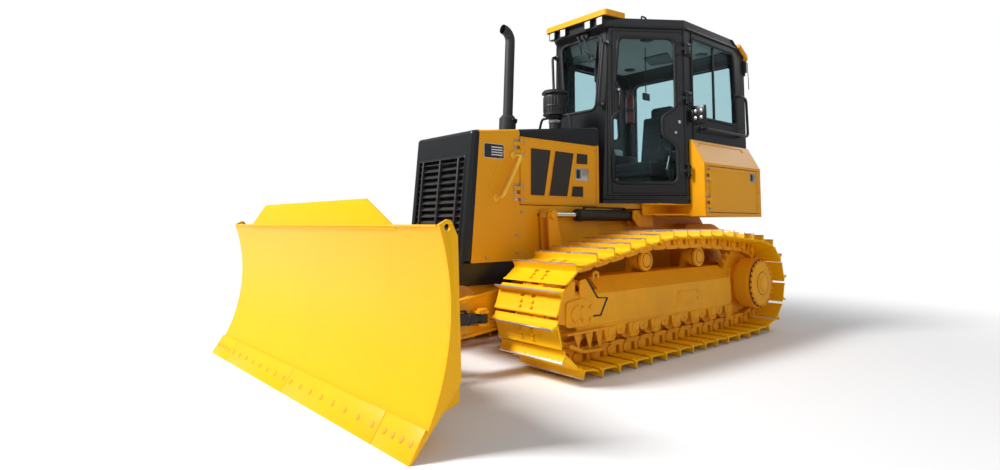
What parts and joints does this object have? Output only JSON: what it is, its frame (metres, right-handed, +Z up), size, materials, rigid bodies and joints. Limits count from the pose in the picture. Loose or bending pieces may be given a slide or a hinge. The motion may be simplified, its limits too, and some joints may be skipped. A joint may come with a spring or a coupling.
{
  "type": "crawler bulldozer",
  "caption": "Compact crawler bulldozer with enclosed cab, power-angle-tilt blade on a push frame, steel tracks, hinged cab and engine doors and an upright exhaust.",
  "frame": {"origin": "ground level under the middle of the machine's overall box (blade edge to the rear of the tracks)", "axes": "-Y forward, to the blade; +Y to the rear; +X the machine's own left; +Z up"},
  "size_m": [2.81, 4.254, 2.8],
  "materials": {
    "yellow_paint": "satin",
    "dark_paint": "satin",
    "exhaust_steel": "matt",
    "cast_iron": "matt",
    "chrome_rod": "polished",
    "glass": "clear",
    "seat_fabric": "matt",
    "lamp": "gloss"
  },
  "bodies": {
    "chassis": {"cab_roof": "dark_paint", "cab_shell": "dark_paint", "console": "dark_paint", "deck": "yellow_paint", "engine_block": "cast_iron", "engine_cowl": "yellow_paint", "exhaust_stack": "exhaust_steel", "final_drive_left": "yellow_paint", "final_drive_right": "yellow_paint", "fuel_tank": "yellow_paint", "grille": "dark_paint", "hood_front": "yellow_paint", "hood_top": "dark_paint", "idler_left": "yellow_paint", "idler_right": "yellow_paint", "main_frame": "yellow_paint", "precleaner": "dark_paint", "radiator_guard": "dark_paint", "rear_glass": "glass", "rollers_left": "yellow_paint", "rollers_right": "yellow_paint", "roof_visor": "yellow_paint", "seat": "seat_fabric", "side_box": "yellow_paint", "side_glass_left": "glass", "side_glass_right": "glass", "sprocket_left": "yellow_paint", "sprocket_right": "yellow_paint", "step_left": "yellow_paint", "step_right": "yellow_paint", "track_frame_left": "yellow_paint", "track_frame_right": "yellow_paint", "track_left": "yellow_paint", "track_right": "yellow_paint", "windscreen": "glass", "work_lights": "lamp"},
    "push_frame": {"push_frame": "yellow_paint"},
    "blade_carrier": {"blade_carrier": "yellow_paint"},
    "blade": {"blade": "yellow_paint", "cutting_edge": "yellow_paint", "tilt_bracket": "yellow_paint"},
    "tilt_barrel": {"tilt_barrel": "dark_paint"},
    "tilt_rod": {"tilt_rod": "chrome_rod"},
    "box_door": {"box_door": "yellow_paint"},
    "lift_barrel_left": {"lift_barrel_left": "dark_paint"},
    "lift_rod_left": {"lift_rod_left": "chrome_rod"},
    "angle_barrel_left": {"angle_barrel_left": "dark_paint"},
    "angle_rod_left": {"angle_rod_left": "chrome_rod"},
    "engine_door_left": {"engine_door_left": "yellow_paint"},
    "cab_door_left": {"cab_door_left": "dark_paint", "door_glass_left": "glass"},
    "lift_barrel_right": {"lift_barrel_right": "dark_paint"},
    "lift_rod_right": {"lift_rod_right": "chrome_rod"},
    "angle_barrel_right": {"angle_barrel_right": "dark_paint"},
    "angle_rod_right": {"angle_rod_right": "chrome_rod"},
    "engine_door_right": {"engine_door_right": "yellow_paint"},
    "cab_door_right": {"cab_door_right": "dark_paint", "door_glass_right": "glass"}
  },
  "joints": [
    {"name": "lift", "type": "hinge", "parent": "chassis", "child": "push_frame", "pos_m": [0, -0.28, 0.47], "axis": [-1, 0, 0], "range_deg": [-12, 25]},
    {"name": "angle", "type": "hinge", "parent": "push_frame", "child": "blade_carrier", "pos_m": [0, -1.6, 0.3], "axis": [0, 0, 1], "range_deg": [-25, 25]},
    {"name": "tilt", "type": "hinge", "parent": "blade_carrier", "child": "blade", "pos_m": [0, -1.75, 0.3], "axis": [0, 1, 0], "range_deg": [-8, 8]},
    {"name": "lift_barrel_left", "type": "hinge", "parent": "chassis", "child": "lift_barrel_left", "pos_m": [0.42, 0.65, 1.03], "axis": [-1, 0, 0], "range_deg": [-0.5, 0.5]},
    {"name": "lift_rod_left", "type": "slide", "parent": "lift_barrel_left", "child": "lift_rod_left", "axis": [0, -1, 0], "range_m": [-0.245, 0.118]},
    {"name": "angle_barrel_left", "type": "hinge", "parent": "push_frame", "child": "angle_barrel_left", "pos_m": [0.485, -1.03, 0.36], "axis": [0, 0, 1], "range_deg": [-0.5, 0.5]},
    {"name": "angle_rod_left", "type": "slide", "parent": "angle_barrel_left", "child": "angle_rod_left", "axis": [-0.1595, -0.9872, 0], "range_m": [-0.166, 0.166]},
    {"name": "lift_barrel_right", "type": "hinge", "parent": "chassis", "child": "lift_barrel_right", "pos_m": [-0.42, 0.65, 1.03], "axis": [-1, 0, 0], "range_deg": [-0.5, 0.5]},
    {"name": "lift_rod_right", "type": "slide", "parent": "lift_barrel_right", "child": "lift_rod_right", "axis": [0, -1, 0], "range_m": [-0.245, 0.118]},
    {"name": "angle_barrel_right", "type": "hinge", "parent": "push_frame", "child": "angle_barrel_right", "pos_m": [-0.485, -1.03, 0.36], "axis": [0, 0, 1], "range_deg": [-0.5, 0.5]},
    {"name": "angle_rod_right", "type": "slide", "parent": "angle_barrel_right", "child": "angle_rod_right", "axis": [0.1595, -0.9872, 0], "range_m": [-0.166, 0.166]},
    {"name": "tilt_barrel", "type": "hinge", "parent": "blade_carrier", "child": "tilt_barrel", "pos_m": [-0.13, -1.715, 0.7], "axis": [0, 1, 0], "range_deg": [-7, 7]},
    {"name": "tilt_rod", "type": "slide", "parent": "tilt_barrel", "child": "tilt_rod", "axis": [1, 0, 0], "range_m": [-0.058, 0.058]},
    {"name": "cab_door_left", "type": "hinge", "parent": "chassis", "child": "cab_door_left", "pos_m": [0.738, 1.02, 1.9], "axis": [0, 0, 1], "range_deg": [0, 105]},
    {"name": "engine_door_left", "type": "hinge", "parent": "chassis", "child": "engine_door_left", "pos_m": [0.369, -0.586, 1.35], "axis": [0, 0, -1], "range_deg": [0, 90]},
    {"name": "cab_door_right", "type": "hinge", "parent": "chassis", "child": "cab_door_right", "pos_m": [-0.738, 1.02, 1.9], "axis": [0, 0, -1], "range_deg": [0, 105]},
    {"name": "engine_door_right", "type": "hinge", "parent": "chassis", "child": "engine_door_right", "pos_m": [-0.369, -0.586, 1.35], "axis": [0, 0, 1], "range_deg": [0, 90]},
    {"name": "box_door", "type": "hinge", "parent": "chassis", "child": "box_door", "pos_m": [0.877, 1.128, 1.26], "axis": [0, 0, -1], "range_deg": [0, 90]}
  ],
  "couplings": [
    {"joint": "lift_barrel_left", "follows": "lift", "ratio": 0.012},
    {"joint": "lift_rod_left", "follows": "lift", "m_per_rad": -0.556},
    {"joint": "angle_barrel_left", "follows": "angle", "ratio": 0.012},
    {"joint": "angle_rod_left", "follows": "angle", "m_per_rad": -0.376},
    {"joint": "lift_barrel_right", "follows": "lift", "ratio": 0.012},
    {"joint": "lift_rod_right", "follows": "lift", "m_per_rad": -0.556},
    {"joint": "angle_barrel_right", "follows": "angle", "ratio": 0.012},
    {"joint": "angle_rod_right", "follows": "angle", "m_per_rad": 0.376},
    {"joint": "tilt_barrel", "follows": "tilt", "ratio": 0.81},
    {"joint": "tilt_rod", "follows": "tilt", "m_per_rad": 0.399}
  ]
}
